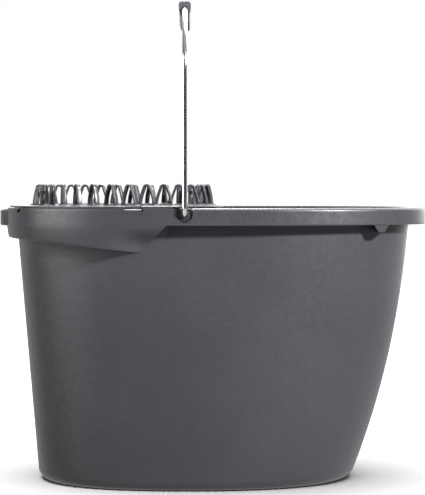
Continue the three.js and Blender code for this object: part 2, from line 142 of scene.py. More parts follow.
def roundedBox(name, low, high, radius, segments):
    bm = bmesh.new()
    bmesh.ops.create_cube(bm, size=1)
    size = Vector(high) - Vector(low)
    middle = (Vector(high) + Vector(low)) / 2
    for vert in bm.verts:
        vert.co = Vector(vert.co[k] * size[k] + middle[k] for k in range(3)) * mm
    bmesh.ops.bevel(bm, geom=bm.edges[:], offset=radius * mm, segments=segments, affect="EDGES", profile=0.5)
    return newObject(name, bm)


def hullBlock(name, corners, edge=0):
    # the closed form round a few corners, with its long edges rounded
    bm = bmesh.new()
    bmesh.ops.convex_hull(bm, input=[bm.verts.new(corner * mm) for corner in corners])
    if edge:
        long = [line for line in bm.edges if not line.is_wire and line.calc_length() > 2 * mm]
        bmesh.ops.bevel(bm, geom=long, offset=edge * mm, segments=2, affect="EDGES", profile=0.5)
    return newObject(name, bm)


def turned(name, profile, middle, axis="Z", segments=64, material=None, closed=False):
    # profile: (radius, height) pairs; it turns about an axis through the middle
    rings = []
    for radius, height in profile:
        ring = []
        for i in range(segments):
            angle = 2 * math.pi * i / segments
            across = Vector((radius * math.cos(angle), radius * math.sin(angle), height))
            if axis == "Y":
                across = Vector((across.x, across.z, -across.y))
            ring.append(Vector(middle) + across)
        rings.append(ring)
    if closed:
        return ringMesh(name, rings, material, "join", "none")
    return ringMesh(name, rings, material)


def lerp(a, b, share):
    return a + (b - a) * share


def roundRectangle(halfLong, halfWide, radius, steps):
    points = []
    for cx, cy, start in ((1, 1, 0), (-1, 1, 90), (-1, -1, 180), (1, -1, 270)):
        for k in range(steps + 1):
            angle = math.radians(start + 90 * k / steps)
            points.append((cx * (halfLong - radius) + radius * math.cos(angle),
                           cy * (halfWide - radius) + radius * math.sin(angle)))
    return points


def fade(x, full, none):
    share = min(1, max(0, (none - x) / (none - full)))
    return share * share * (3 - 2 * share)


# finishes

def linear(value):
    return value / 12.92 if value <= 0.04045 else ((value + 0.055) / 1.055) ** 2.4


def shade(red, green, blue):
    return (linear(red / 255), linear(green / 255), linear(blue / 255), 1)


def nodeMaker(owner):
    # owner: a material or a world; its node tree is emptied first
    owner.use_nodes = True
    tree = owner.node_tree
    tree.nodes.clear()

    def make(kind, inputs=None, **settings):
        node = tree.nodes.new(kind)
        for key, value in settings.items():
            setattr(node, key, value)
        for key, value in (inputs or {}).items():
            if isinstance(value, bpy.types.NodeSocket):
                tree.links.new(value, node.inputs[key])
            else:
                node.inputs[key].default_value = value
        return node

    def remap(value, fromLow, fromHigh, toLow, toHigh, **settings):
        ends = {"From Min": fromLow, "From Max": fromHigh, "To Min": toLow, "To Max": toHigh}
        return make("ShaderNodeMapRange", {"Value": value, **ends}, **settings).outputs["Result"]

    def blend(factor, first, second):
        # first and second: a colour, or the socket that gives one
        node = make("ShaderNodeMix", {"Factor": factor}, data_type="RGBA")
        for name, value in (("A", first), ("B", second)):
            if isinstance(value, bpy.types.NodeSocket):
                tree.links.new(value, node.inputs[name])
            else:
                node.inputs[name].default_value = value
        return node.outputs["Result"]

    return make, remap, blend


def mouldedPlastic(name, look):
    # fine spark-eroded grain over a faint orange peel, tone that drifts a little, paler worn edges, and
    # painted shade that darkens the colour towards the base
    material = bpy.data.materials.new(name)
    make, remap, blend = nodeMaker(material)
    place = make("ShaderNodeTexCoord").outputs["Object"]

    def noise(vector, scale, **more):
        return make("ShaderNodeTexNoise", {"Vector": vector, "Scale": scale, **more}).outputs["Fac"]

    grain = noise(place, look["grainScale"], Detail=3.0, Roughness=0.6)
    peel = noise(place, look["peelScale"], Detail=2.0)
    drift = noise(place, look["driftScale"], Detail=4.0, Roughness=0.55)
    stretched = make("ShaderNodeMapping", {"Vector": place, "Scale": look["scuffStretch"]}).outputs["Vector"]
    scuff = noise(stretched, look["scuffScale"], Detail=6.0)
    body = blend(remap(drift, 0.3, 0.7, 0.0, 1.0), look["dark"], look["light"])
    height = make("ShaderNodeSeparateXYZ", {"Vector": place}).outputs["Z"]
    # painted shade: near the bottom the colour is mixed towards a dark tone, most at the base
    shadedLow = blend(remap(height, 0.0, look["grimeHeight"], look["grime"], 0.0), body, look["grimeTone"])
    edges = remap(make("ShaderNodeNewGeometry").outputs["Pointiness"], 0.53, 0.62, 0.0, look["edgeWear"])
    scuffs = remap(scuff, 0.66, 0.8, 0.0, look["scuff"])
    worn = make("ShaderNodeMath", {0: edges, 1: scuffs}, operation="MAXIMUM").outputs["Value"]
    fineBump = make("ShaderNodeBump", {"Height": grain, "Strength": look["grain"], "Distance": 0.0002})
    wideBump = make(
        "ShaderNodeBump",
        {"Height": peel, "Strength": look["peel"], "Distance": 0.0006, "Normal": fineBump.outputs["Normal"]},
    )
    shader = make("ShaderNodeBsdfPrincipled", {
        "Base Color": blend(worn, shadedLow, look["worn"]),
        "Roughness": remap(peel, 0.3, 0.7, look["roughness"] - 0.04, look["roughness"] + 0.05),
        "Normal": wideBump.outputs["Normal"],
        "IOR": look["ior"],
    })
    make("ShaderNodeOutputMaterial", {"Surface": shader.outputs["BSDF"]})
    return material


def plasticLook(tones, **changes):
    dark, light, worn = tones
    look = {
        "dark": shade(*dark), "light": shade(*light), "worn": shade(*worn),
        "roughness": 0.42, "ior": 1.49, "grain": 0.32, "grainScale": 900.0, "peel": 0.10, "peelScale": 220.0,
        "driftScale": 9.0, "scuff": 0.16, "scuffScale": 60.0, "scuffStretch": (1.0, 1.0, 6.0),
        # the three base-shade entries paint shade near the base: how strong it is, the height where it fades
        # out, and its dark tone
        "edgeWear": 0.3, "grime": 0.0, "grimeHeight": 0.2, "grimeTone": shade(24, 24, 26),
    }
    look.update(changes)
    return look


def platedSteel(name, look):
    # bright nickel and chrome plate with faint drawing lines and tiny pits
    material = bpy.data.materials.new(name)
    make, remap, blend = nodeMaker(material)
    place = make("ShaderNodeTexCoord").outputs["Object"]
    lines = make("ShaderNodeMapping", {"Vector": place, "Scale": look["lineStretch"]}).outputs["Vector"]
    drawing = make("ShaderNodeTexNoise", {"Vector": lines, "Scale": look["lineScale"], "Detail": 4.0})
    drawn = drawing.outputs["Fac"]
    pits = make("ShaderNodeTexVoronoi", {"Vector": place, "Scale": look["pitScale"]}).outputs["Distance"]
    bump = make("ShaderNodeBump", {"Height": drawn, "Strength": look["lines"], "Distance": 0.0001})
    shader = make("ShaderNodeBsdfPrincipled", {
        "Base Color": blend(remap(pits, 0.0, 0.12, 1.0, 0.0), look["plate"], look["pit"]),
        "Metallic": 1.0,
        "Roughness": remap(drawn, 0.35, 0.7, look["roughness"], look["roughness"] + look["haze"]),
        "Normal": bump.outputs["Normal"],
    })
    make("ShaderNodeOutputMaterial", {"Surface": shader.outputs["BSDF"]})
    return material


# the tub gets painted shade that darkens its lower part
bucketPlastic = mouldedPlastic(
    "bucketPlastic",
    plasticLook(((45, 45, 50), (52, 52, 57), (86, 86, 92)), roughness=0.36, grime=0.55),
)
wringerPlastic = mouldedPlastic(
    "wringerPlastic",
    plasticLook(((44, 44, 48), (51, 51, 55), (94, 94, 100)), roughness=0.36, driftScale=30.0, scuff=0.1),
)
gripPlastic = mouldedPlastic(
    "gripPlastic",
    plasticLook(((58, 58, 62), (68, 68, 72), (110, 110, 115)), roughness=0.33, driftScale=40.0, grain=0.12),
)
bushPlastic = mouldedPlastic(
    "bushPlastic",
    plasticLook(((26, 26, 27), (34, 34, 35), (84, 84, 86)), roughness=0.3, driftScale=60.0, grain=0.1),
)
bailChrome = platedSteel("bailChrome", {
    "plate": (0.80, 0.81, 0.83, 1), "pit": (0.35, 0.34, 0.33, 1), "roughness": 0.07, "haze": 0.06,
    "lines": 0.12, "lineScale": 40.0, "lineStretch": (60.0, 60.0, 4.0), "pitScale": 420.0,
})
capSteel = platedSteel("capSteel", {
    "plate": (0.52, 0.53, 0.54, 1), "pit": (0.22, 0.2, 0.18, 1), "roughness": 0.28, "haze": 0.14,
    "lines": 0.2, "lineScale": 90.0, "lineStretch": (20.0, 20.0, 20.0), "pitScale": 600.0,
})
print("finishes made")


# tub

shellLow, shellHigh = nodeBox("bucket_shell")
tub = {
    "columns": 264,
    "height": shellHigh.z,
    "rear": shellHigh.x,
    "half": shellHigh.y,
    "lipReach": 6.6,  # the pouring lip stands this far out of the front
    "widest": 15,  # place along X where the rim is widest
    "frontPower": 2.5,
    "rearPower": 2.2,
    "wall": 2.2,
    "frontOverhang": 8.2,
    "rearOverhang": 14,
    "sideOverhang": 12,
    "baseFrontInset": 30,
    "baseRearInset": 70,
    "baseHalf": 110.5,
    "corner": 9,
    "footRing": 9,
    "footRise": 3,
    "floor": 5.6,
    "floorBend": 8,
    "skirtDepth": 15.3,
    "edgeIn": (4.2, 1.0, 1.5),
    "edgeDown": (2.3, 0.9, 3.0),
    "swellFront": 27.5,
    "swellRear": 39,
    "swellFull": -105,
    "swellEnd": -62,
    "swellDraft": 0.14,
    "skirtStart": -42,
}
slots = {
    "notchPlace": -72, "notchWidth": 16.2, "stepDrop": 1.8, "slit": 1.2, "slitDepth": 3.4,
    "ventPlace": -177, "ventHalf": 2.6, "ventLean": 2.4,
}
tub["front"] = shellLow.x + tub["lipReach"]
skirtZ = tub["height"] - tub["skirtDepth"]
rimPlan = (tub["front"], tub["rear"], tub["half"], tub["widest"])


def wallPlan(z):
    down = 1 - z / tub["height"]
    bowed = 0.4 * down + 0.6 * max(0, down) ** 2.4
    topHalf = tub["half"] - tub["sideOverhang"]
    return (
        tub["front"] + tub["frontOverhang"] + (tub["baseFrontInset"] - tub["frontOverhang"]) * down,
        tub["rear"] - tub["rearOverhang"] - (tub["baseRearInset"] - tub["rearOverhang"]) * bowed,
        topHalf - (topHalf - tub["baseHalf"]) * (0.8 * down + 0.2 * down * down),
        tub["widest"] - 35 * down,
    )


def eggPoint(plan, inset, angle):
    front, rear, half, widest = plan
    atRear = math.cos(angle) > 0
    power = tub["rearPower"] if atRear else tub["frontPower"]
    reach = (rear - widest if atRear else widest - front) - inset
    spread = lambda value: math.copysign(abs(value) ** (2 / power), value)
    return Vector((widest + reach * spread(math.cos(angle)), (half - inset) * spread(math.sin(angle)), 0))


def halfWidthAt(plan, x):
    front, rear, half, widest = plan
    power, reach = (tub["rearPower"], rear - widest) if x > widest else (tub["frontPower"], widest - front)
    return half * (1 - min(1, abs(x - widest) / reach) ** power) ** (1 / power)


def swellEdge(x):
    share = min(1, (x - tub["front"]) / (tub["swellEnd"] - 12 - tub["front"]))
    return tub["height"] - tub["swellFront"] - (tub["swellRear"] - tub["swellFront"]) * share


def swellShare(x, z, lift=0):
    # how far the swollen front has left the wall for the rim's outline at a height
    low = swellEdge(x) + lift
    start = (1 - tub["swellDraft"]) * fade(x, tub["swellFull"] - lift, tub["swellEnd"] - lift)
    climb = min(1, max(0, (z - low) / (skirtZ - low)))
    flare = min(1, max(0, (climb - 0.2) / 0.8))
    flare = flare * flare * (3 - 2 * flare)
    draft = 1 - (1 - climb) ** 1.35
    return start + (1 - start) * lerp(flare, draft, min(1, start / (1 - tub["swellDraft"])))


def ledgeZ(x):
    # the lower edge of the swollen front: it climbs to the skirt along a slant
    return max(swellEdge(x), skirtZ + (x - tub["skirtStart"]))


def columnAngles():
    # even steps, with a pair of columns close together where the skirt comes free of the swollen front
    step = 2 * math.pi / tub["columns"]
    even = [step * (i + 0.5) for i in range(tub["columns"])]
    extra = []
    for x in (tub["skirtStart"], tub["skirtStart"] + 0.3):
        share = ((tub["widest"] - x) / (tub["widest"] - tub["front"])) ** (tub["frontPower"] / 2)
        angle = math.pi - math.acos(share)
        extra += [angle, 2 * math.pi - angle]
    kept = [angle for angle in even if min(abs(angle - other) for other in extra) > step * 0.35]
    return sorted(kept + extra)


tubAngles = columnAngles()


def tubRing(inset, share, z):
    # each of the three is a number, or a function of the place along X
    value = lambda given, x: given(x) if callable(given) else given
    ring = []
    for angle in tubAngles:
        x = eggPoint(rimPlan, 0, angle).x
        height = value(z, x)
        offset = value(inset, x)
        outer = eggPoint(rimPlan, offset, angle)
        inner = eggPoint(wallPlan(height), offset, angle)
        point = inner.lerp(outer, value(share, x))
        ring.append(Vector((point.x, point.y, height)))
    return ring


def either(front, rear):
    # the front's value up to the start of the free skirt, the rear's behind it
    pick = lambda given, x: given(x) if callable(given) else given
    return lambda x: pick(front, x) if x < tub["skirtStart"] + 0.1 else pick(rear, x)


def edgeSize(x, kind):
    # how far the rim's top edge is rounded, "In" or "Down": soft behind the deck, less under it
    free, seat, tip = tub["edge" + kind]
    size = lerp(free, seat, fade(x, tub["skirtStart"], tub["skirtStart"] + 20))
    return lerp(size, tip, fade(x, tub["front"] + 3, tub["front"] + 16))


def tubOutsideRings():
    rings = []
    corner, ringWidth = tub["corner"], tub["footRing"]
    edge = corner + ringWidth
    # recess under the base, its edge and the foot ring
    for inset, z in ((88, 3), (60, 3), (edge + 6, 3), (edge + 1.2, 3), (edge + 0.4, 2.7), (edge, 2),
                     (edge, 0.9), (edge - 0.3, 0.25), (edge - 1, 0), (edge - 3, 0), (corner + 2, 0)):
        rings.append(tubRing(inset, 0, z * tub["footRise"] / 3))
    for step in range(9):
        turn = math.pi / 2 * step / 8
        rings.append(tubRing(corner * (1 - math.sin(turn)), 0, corner * (1 - math.cos(turn))))
    underRim = tub["height"] - tub["wall"]
    wallTop = either(lambda x: ledgeZ(x) - 1.0, underRim - 1.2)
    for step in range(1, 17):
        rings.append(tubRing(0, 0, lambda x, t=step / 16: lerp(corner, wallTop(x), t)))
    # out along the ledge at the front, or along the underside of the rim behind it
    low = ledgeZ
    lowShare = lambda x: swellShare(x, ledgeZ(x))
    rings.append(tubRing(0, either(lambda x: 0.02 * lowShare(x), 0.02),
                         either(lambda x: low(x) - 0.3, underRim - 0.35)))
    rings.append(tubRing(0, either(lambda x: 0.09 * lowShare(x), 0.09), either(low, underRim)))
    rings.append(tubRing(either(0, 1.1), either(lambda x: 0.5 * lowShare(x), 0.5), either(low, underRim)))
    # down the inner face of the skirt; at the front all of these meet at the ledge's edge
    for inset, z in ((tub["wall"] + 1.2, underRim), (tub["wall"] + 0.3, underRim - 0.35),
                     (tub["wall"], underRim - 1.2),
                     (tub["wall"], lerp(skirtZ, underRim, 0.45)), (tub["wall"], skirtZ + 0.6),
                     (tub["wall"] - 0.25, skirtZ + 0.15), (tub["wall"] - 0.7, skirtZ)):
        rings.append(tubRing(either(0, inset), either(lambda x: 0.93 * lowShare(x), 1), either(low, z)))
    rings.append(tubRing(either(0, 0.6), either(lambda x: 0.97 * lowShare(x), 1),
                         either(lambda x: low(x) + 0.1, skirtZ)))
    rings.append(tubRing(either(0, 0.15), either(lambda x: 0.995 * lowShare(x), 1),
                         either(lambda x: low(x) + 0.35, skirtZ + 0.2)))
    start = either(lambda x: low(x) + 0.9, skirtZ + 0.8)
    top = lambda x: tub["height"] - edgeSize(x, "Down")
    for step in range(13):
        height = lambda x, t=step / 12: lerp(start(x), top(x), t)
        rings.append(tubRing(0, either(lambda x, h=height: swellShare(x, h(x)), 1), height))
    for step in range(1, 6):
        turn = math.pi / 2 * step / 5
        rings.append(tubRing(lambda x, t=turn: edgeSize(x, "In") * (1 - math.cos(t)), 1,
                             lambda x, t=turn: top(x) + edgeSize(x, "Down") * math.sin(t)))
    return rings


def innerShare(x):
    return fade(x, tub["skirtStart"] - 30, tub["skirtStart"] - 16)


def tubInsideRings():
    rings = []
    wall, height = tub["wall"], tub["height"]
    soft = 1.0
    for step in (0.35, 0.7, 1):
        rings.append(tubRing(lambda x, t=step: lerp(edgeSize(x, "In"), wall - soft + 0.4, t),
                             lambda x, t=step: lerp(1, innerShare(x), t), height))
    for step in range(1, 4):
        turn = math.pi / 2 * step / 3
        inset = wall - soft + soft * math.sin(turn)
        rings.append(tubRing(inset, innerShare, height - soft * (1 - math.cos(turn))))
    floorZ = lambda x: swellEdge(x) + wall
    for step in range(1, 10):
        level = lambda x, t=step / 9: lerp(height - soft, floorZ(x) + 1.0, t)
        rings.append(tubRing(wall, lambda x, h=level: innerShare(x) * swellShare(x, h(x), wall), level))
    lowShare = lambda x: innerShare(x) * swellShare(x, floorZ(x), wall)
    rings.append(tubRing(wall, lambda x: 0.96 * lowShare(x), lambda x: floorZ(x) + 0.3))
    rings.append(tubRing(wall, lambda x: 0.88 * lowShare(x), floorZ))
    rings.append(tubRing(wall, lambda x: 0.1 * lowShare(x), floorZ))
    rings.append(tubRing(wall, lambda x: 0.02 * lowShare(x), lambda x: floorZ(x) - 0.3))
    rings.append(tubRing(wall, 0, lambda x: floorZ(x) - 1.0))
    bend = tub["floorBend"]
    for step in range(1, 15):
        rings.append(tubRing(wall, 0, lambda x, t=step / 14: lerp(floorZ(x) - 1.0, tub["floor"] + bend, t)))
    for step in range(1, 8):
        turn = math.pi / 2 * step / 7
        inset = wall + bend * (1 - math.cos(turn))
        rings.append(tubRing(inset, 0, tub["floor"] + bend * (1 - math.sin(turn))))
    for inset in (18, 30, 60, 88):
        rings.append(tubRing(inset, 0, tub["floor"]))
    return rings


lip = {
    "half": 38,
    "height": 14.6,
    "drop": 2.2,
    "root": 14,  # how far behind the front its sides start
    "oval": 9,
    "edge": 1.3,
}


def lipRing(inset, z):
    reach = tub["lipReach"] + lip["oval"] - inset
    half = lip["half"] - inset
    back = tub["front"] + lip["root"]
    ring = [Vector((back, -half, z)), Vector((back, half, z))]
    for i in range(25):
        angle = math.pi / 2 + math.pi * i / 24
        across = math.copysign(abs(math.sin(angle)) ** 0.7, math.sin(angle))
        ring.append(Vector((tub["front"] + lip["oval"] + reach * math.cos(angle), half * across, z)))
    return ring


def lipBlock(name, inset, low, high, edge):
    rings = []
    for step in range(4):
        turn = math.pi / 2 * step / 3
        rings.append(lipRing(inset + edge * (1 - math.sin(turn)), low + edge * (1 - math.cos(turn))))
    for step in range(4):
        turn = math.pi / 2 * step / 3
        rings.append(lipRing(inset + edge * (1 - math.cos(turn)), high - edge * (1 - math.sin(turn))))
    return ringMesh(name, rings)


web = {"place": 151, "topHalf": 8.4, "lowHalf": 3, "drop": 6.7, "topInset": 0.8, "lowInset": 1.4, "edge": 0.5}


def rimWeb(side):
    # V-shaped web between the skirt and the wall
    corners = []
    for half, z, inset in ((web["topHalf"], skirtZ + 2, web["topInset"]),
                           (web["lowHalf"], skirtZ - web["drop"], web["lowInset"])):
        for x in (web["place"] - half, web["place"] + half):
            inner = halfWidthAt(wallPlan(z), x) - tub["wall"] / 2
            outer = halfWidthAt(rimPlan, x) - inset
            corners += [Vector((x, side * y, z)) for y in (inner, outer)]
    return hullBlock("web", corners, web["edge"])


pivot = {
    "x": jointOf["bail_swing"]["pos_m"][0] / mm,
    "z": jointOf["bail_swing"]["pos_m"][2] / mm,
    "pocketHalf": 6.9,
    "pocketDepth": 3.4,
    "pocketLift": 0.6,
    "bossHalf": 11,
    "bore": 4.7,
}
pivot["faceY"] = halfWidthAt(rimPlan, pivot["x"])
pivot["wallY"] = halfWidthAt(wallPlan(pivot["z"]), pivot["x"]) - tub["wall"]


def pivotBoss(side):
    # solid block between the wall and the skirt that carries a bush
    corners = []
    for z in (skirtZ + 0.3, tub["height"] - 1):
        for x in (pivot["x"] - pivot["bossHalf"], pivot["x"] + pivot["bossHalf"]):
            inner = halfWidthAt(wallPlan(z), x) - tub["wall"] / 2
            outer = halfWidthAt(rimPlan, x) - tub["wall"] / 2
            corners += [Vector((x, side * y, z)) for y in (inner, outer)]
    return hullBlock("boss", corners)


def uOutline(half, topZ, corner=0.0):
    # upright U about the pivot in the XZ plane: round below, straight sides, square top
    middleZ = pivot["z"] + pivot["pocketLift"]
    points = []
    for i in range(21):
        angle = math.pi + math.pi * i / 20
        points.append((pivot["x"] + half * math.cos(angle), middleZ + half * math.sin(angle)))
    if corner:
        for side, start in ((1, 0), (-1, math.pi / 2)):
            for i in range(5):
                angle = start + math.pi / 2 * i / 4
                x = pivot["x"] + side * (half - corner) + corner * math.cos(angle)
                points.append((x, topZ - corner * (1 - math.sin(angle))))
    else:
        points += [(pivot["x"] + half, topZ), (pivot["x"] - half, topZ)]
    return points


def uSlab(name, half, topZ, y0, y1, side):
    outline = uOutline(half, topZ)
    rings = [[Vector((x, side * y, z)) for x, z in outline] for y in (y0, y1)]
    return ringMesh(name, rings)


def ventCutter(side):
    # a slanted slot through the front corner of the rim
    y = side * halfWidthAt(rimPlan, slots["ventPlace"])
    half, top = slots["ventHalf"], tub["height"] - 0.6
    low = (slots["ventPlace"] - half, y - 14, top - 3.6)
    cutter = roundedBox("vent", low, (slots["ventPlace"] + half * 0.1, y + 14, top), 0.7, 3)
    for vert in cutter.data.vertices:
        vert.co.x += (vert.co.z - (top - 1.8) * mm) * slots["ventLean"] / 3.6
    return cutter


def notchStep(side):
    # the rim's edge falls away under the deck's notch
    half = slots["notchWidth"] / 2 - 0.4
    corners = []
    for x in (slots["notchPlace"] - half, slots["notchPlace"] + half):
        face = halfWidthAt(rimPlan, x)
        for y, drop in ((face - 2.6, 0.5), (face + 1, slots["stepDrop"])):
            corners += [Vector((x, side * y, tub["height"] + z)) for z in (-drop, 1)]
    return hullBlock("step", corners)


def tubCutters():
    height = tub["height"]
    lipTop = height - lip["drop"]
    tools = [lipBlock("channel", tub["wall"], lipTop - lip["height"] + tub["wall"], height + 3, 1.0)]
    for side in (1, -1):
        deep = pivot["faceY"] - pivot["pocketDepth"]
        tools.append(uSlab("pocket", pivot["pocketHalf"], height + 2, deep, pivot["faceY"] + 3, side))
        tools.append(ventCutter(side))
        tools.append(notchStep(side))
        slitX = slots["notchPlace"] + slots["notchWidth"] / 2 - slots["slit"] + 0.9
        slitY = side * halfWidthAt(rimPlan, slitX)
        slitLow = (slitX, slitY - 1.4, height - slots["slitDepth"])
        tools.append(roundedBox("slit", slitLow, (slitX + slots["slit"], slitY + 1.4, height + 1), 0.3, 2))
    return joinInto(tools[0], *tools[1:])


def pivotBores():
    deep = pivot["faceY"] - pivot["pocketDepth"]
    profile = [(pivot["bore"], -12), (pivot["bore"], 12)]
    bores = [
        turned("bore", profile, (pivot["x"], side * (deep - 6), pivot["z"]), "Y", 40)
        for side in (1, -1)
    ]
    return joinInto(*bores)


def makeTub():
    body = ringMesh("bucketBody", tubOutsideRings() + tubInsideRings(), bucketPlastic)
    lipTop = tub["height"] - lip["drop"]
    outer = lipBlock("lip", 0, lipTop - lip["height"], lipTop, lip["edge"])
    cutOrAdd(body, joinInto(outer, rimWeb(1), rimWeb(-1), pivotBoss(1), pivotBoss(-1)), "UNION")
    cutOrAdd(body, tubCutters(), "DIFFERENCE")
    cutOrAdd(body, pivotBores(), "DIFFERENCE")
    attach(body, "bucket")
    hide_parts("bucket_shell")
    return body


makeTub()
print("tub made")


# pivot bushes and caps

bush = {
    "plate": 1.6, "gap": 0.3, "lipWidth": 1.3, "lipHeight": 0.7, "edge": 0.35, "corner": 1.2,
    "sleeve": 4.4, "sleevePast": 1.2, "bore": 2.6,
}


def makeBush(side, name):
    back = pivot["faceY"] - pivot["pocketDepth"] + bush["gap"]
    half = pivot["pocketHalf"] - bush["gap"]
    topZ = tub["height"] - 0.4
    edge, lipWidth = bush["edge"], bush["lipWidth"]
    front = back + bush["plate"] + bush["lipHeight"]
    rings = []
    for inset, y in ((edge, back), (0, back + edge), (0, front - edge), (edge, front),
                     (lipWidth - edge, front), (lipWidth, front - edge),
                     (lipWidth + 0.2, back + bush["plate"])):
        outline = uOutline(half - inset, topZ - inset, bush["corner"])
        rings.append([Vector((x, side * y, z)) for x, z in outline])
    plate = ringMesh("bush" + name, rings, bushPlastic, "face", "face")
    inside = pivot["wallY"] - bush["sleevePast"]
    reach = back - inside + bush["plate"]
    radius = bush["sleeve"]
    boss = [(radius, 0), (radius, side * (reach + 0.2)), (radius - 0.5, side * (reach + 0.7))]
    sleeve = turned("sleeve", boss, (pivot["x"], side * inside, pivot["z"]), "Y", 40)
    cutOrAdd(plate, sleeve, "UNION")
    profile = [(bush["bore"], -20), (bush["bore"], 20)]
    bore = turned("bore", profile, (pivot["x"], side * (back - 4), pivot["z"]), "Y", 32)
    cutOrAdd(plate, bore, "DIFFERENCE")
    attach(plate, "bucket")
    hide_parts("pivot_bush_" + name.lower())


def makeCap(side, name):
    low, high = nodeBox("end_cap_" + name.lower())
    middleY = (low.y + high.y) / 2
    inner = side * (high.y - low.y) / 2
    radius = (high.x - low.x) / 2
    bore = bush["bore"]
    # from the face at the bush, over the brim and the crown, to the pinhole and back out of the bore
    profile = [
        (bore, inner), (radius - 0.5, inner), (radius, inner - side * 0.5), (radius, inner - side * 1.1),
        (radius - 1.5, inner - side * 1.5), (radius - 1.7, -inner + side * 1.1),
        (radius - 2.4, -inner + side * 0.25), (radius - 3.4, -inner),
        (0.6, -inner), (0.6, -inner + side), (bore, -inner + side),
    ]
    cap = turned("endCap" + name, profile, (pivot["x"], middleY, pivot["z"]), "Y", 40, capSteel, closed=True)
    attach(cap, "bail")
    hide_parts("end_cap_" + name.lower())


for side, name in ((-1, "Near"), (1, "Far")):
    makeBush(side, name)
    makeCap(side, name)
print("bushes and caps made")


# bail

wireLow, wireHigh = nodeBox("bail_wire")
bail = {
    "wire": 2.3,
    "sides": 24,
    "top": wireHigh.z - 2.3,
    "bend": 7,
    "corner": 66,
    "crownRise": 8,
    "gripHalf": 85,
    "pastWall": 4.5,
}
bail["legY"] = wireHigh.y - bail["wire"]


def crownArc():
    slope = 0.1
    # the crown's arc meets the corners without a kink; each turn brings the slope nearer
    for turn in range(12):
        half = bail["legY"] - bail["corner"] * (1 - math.sin(slope))
        radius = (half * half + bail["crownRise"] ** 2) / (2 * bail["crownRise"])
        slope = math.asin(half / radius)
    return radius, slope


crownRadius, crownSlope = crownArc()
crownCentreZ = bail["top"] - crownRadius
cornerStartZ = bail["top"] - bail["crownRise"] - bail["corner"] * math.cos(crownSlope)


def arcPoints(centreY, centreZ, radius, start, end, steps):
    return [
        Vector((pivot["x"], centreY + radius * math.cos(angle), centreZ + radius * math.sin(angle)))
        for angle in (lerp(start, end, i / steps) for i in range(steps + 1))
    ]


def wireRoute():
    innerEnd = pivot["wallY"] - bail["pastWall"]
    half = [Vector((pivot["x"], innerEnd, pivot["z"])), Vector((pivot["x"], innerEnd + 4, pivot["z"]))]
    bend, corner = bail["bend"], bail["corner"]
    half += arcPoints(bail["legY"] - bend, pivot["z"] + bend, bend, -math.pi / 2, 0, 12)
    legTop = Vector((pivot["x"], bail["legY"], cornerStartZ))
    half += [half[-1].lerp(legTop, t) for t in (0.33, 0.66)]
    half += arcPoints(bail["legY"] - corner, cornerStartZ, corner, 0, math.pi / 2 - crownSlope, 28)
    half += arcPoints(0, crownCentreZ, crownRadius, math.pi / 2 - crownSlope, math.pi / 2, 12)[1:]
    other = [Vector((point.x, -point.y, point.z)) for point in reversed(half[:-1])]
    return half + other


def sweep(name, route, section, material):
    # section: [across, outward] pairs; outward is up at the top of the bail
    rings = []
    for i, point in enumerate(route):
        along = (route[min(i + 1, len(route) - 1)] - route[max(i - 1, 0)]).normalized()
        outward = Vector((0, along.z, -along.y))
        rings.append([point + Vector((across, 0, 0)) + outward * out for across, out in section(i)])
    return ringMesh(name, rings, material, "face", "face")


def makeWire():
    circle = [
        (bail["wire"] * math.cos(2 * math.pi * (k + 0.5) / bail["sides"]),
         bail["wire"] * math.sin(2 * math.pi * (k + 0.5) / bail["sides"]))
        for k in range(bail["sides"])
    ]
    wire = sweep("bailWire", wireRoute(), lambda i: circle, bailChrome)
    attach(wire, "bail")
    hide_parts("bail_wire")


grip = {"half": 5.8, "roof": 4.8, "height": 14.4, "gap": 0.3, "corner": 3.4, "stations": 64}


def gripSection(inset=0.0):
    # inverted U: crowned top with round corners, sides that bulge and then draw in to round tips
    slot = bail["wire"] + grip["gap"]
    top = slot + grip["roof"]
    low = top - grip["height"]
    half = grip["half"] - inset
    right = []
    for i in range(6):
        angle = math.pi / 2 * (1 - i / 5)
        right.append((half - grip["corner"] + grip["corner"] * math.cos(angle),
                      top - inset - grip["corner"] + grip["corner"] * math.sin(angle)))
    for t in (0.25, 0.5, 0.75, 0.92):
        z = lerp(top - grip["corner"], low, t)
        draw = 1 - 0.30 * max(0, (t - 0.3) / 0.7) ** 1.6
        right.append((half * draw, z))
    tipOut = half * 0.70
    tipIn = slot + 0.15 + inset * 0.4
    right += [(tipOut - 0.15, low + 0.35 + inset), (tipOut - 0.6, low + inset), (tipIn + 0.4, low + inset),
              (tipIn, low + 0.4 + inset), (tipIn, lerp(low, 0, 0.5)), (slot, 0)]
    for i in range(1, 5):
        angle = math.pi / 2 * i / 4
        right.append((slot * math.cos(angle) + (0.001 if i == 4 else 0), slot * math.sin(angle)))
    left = [(-across, out) for across, out in reversed(right)]
    return right[:-1] + [(0, slot)] + left[1:]


def makeGrip():
    reach = math.asin(bail["gripHalf"] / crownRadius)
    stations = grip["stations"]
    route = arcPoints(0, crownCentreZ, crownRadius, math.pi / 2 - reach, math.pi / 2 + reach, stations)
    base = gripSection()

    def section(i):
        fromEnd = min(i, stations - i)
        inset = {0: 0.5, 1: 0.12}.get(fromEnd, 0)
        return gripSection(inset) if inset else base

    handle = sweep("bailGrip", route, section, gripPlastic)
    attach(handle, "bail")
    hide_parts("bail_grip")


makeWire()
makeGrip()
print("bail made")


# wringer deck

deckLow, deckHigh = nodeBox("wringer_deck")
deck = {
    "columns": 540,
    "mouth": (-85, 0),
    "mouthRadius": 70,
    "lobe": deckHigh.x + 85 + 0.6,  # the deck's radius behind the mouth
    "inset": 0.6,
    "end": pivot["x"] - bail["wire"] - 2.2,  # its straight edges stop short of the wire
    "thickness": 1.6,
    "top": deckHigh.z,
    "frontInset": 2.4,
    "skirt": 8,
    "skirtInset": 5.2,
    "skirtWall": 2,
    "edge": 1.3,  # the rounding of the top edge
    "notchDepth": 7,
    "drain": 2.6,
    "drainStart": -172,
    "drainPitch": 11,
    "drainCount": 5,
}


